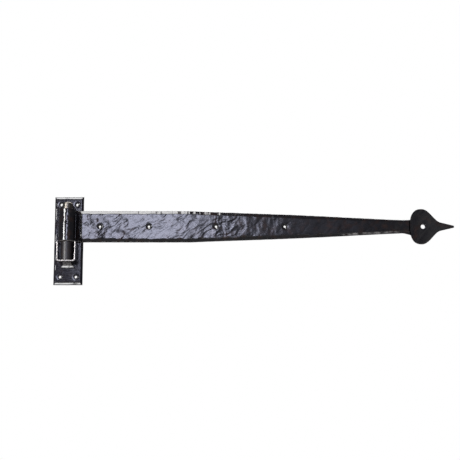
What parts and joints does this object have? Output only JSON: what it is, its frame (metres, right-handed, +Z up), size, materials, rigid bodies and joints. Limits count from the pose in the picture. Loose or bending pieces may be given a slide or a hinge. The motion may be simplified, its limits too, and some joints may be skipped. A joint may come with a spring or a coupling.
{
  "type": "strap hinge",
  "caption": "Hand-forged hook-and-band strap hinge: tapered strap with rolled eye and spade end, hung on the pin of a wall plate.",
  "frame": {"origin": "middle of the pintle plate's back face, on the wall or door frame", "axes": "+Z up along the pin, +X along the closed strap towards its spade, +Y into the wall the plate is screwed to"},
  "size_m": [0.618, 0.0356, 0.138],
  "materials": {
    "plate_lacquer": "smooth gloss black lacquer over forged steel",
    "strap_lacquer": "gloss black lacquer over hammered steel",
    "bare_steel": "drawn bar, bare, lengthwise streaks"
  },
  "bodies": {
    "plate": {"pintle_plate": "plate_lacquer", "pin_saddle": "plate_lacquer", "pin_sleeve": "plate_lacquer", "saddle_foot": "plate_lacquer"},
    "pin": {"pintle_pin": "bare_steel"},
    "band": {"strap": "strap_lacquer", "spade_finial": "strap_lacquer"}
  },
  "joints": [
    {"name": "swing", "type": "hinge", "parent": "plate", "child": "pin", "pos_m": [0, -0.0215, 0], "axis": [0, 0, -1], "range_deg": [0, 180]},
    {"name": "lift_off", "type": "slide", "parent": "pin", "child": "band", "axis": [0, 0, 1], "range_m": [0, 0.065]}
  ]
}
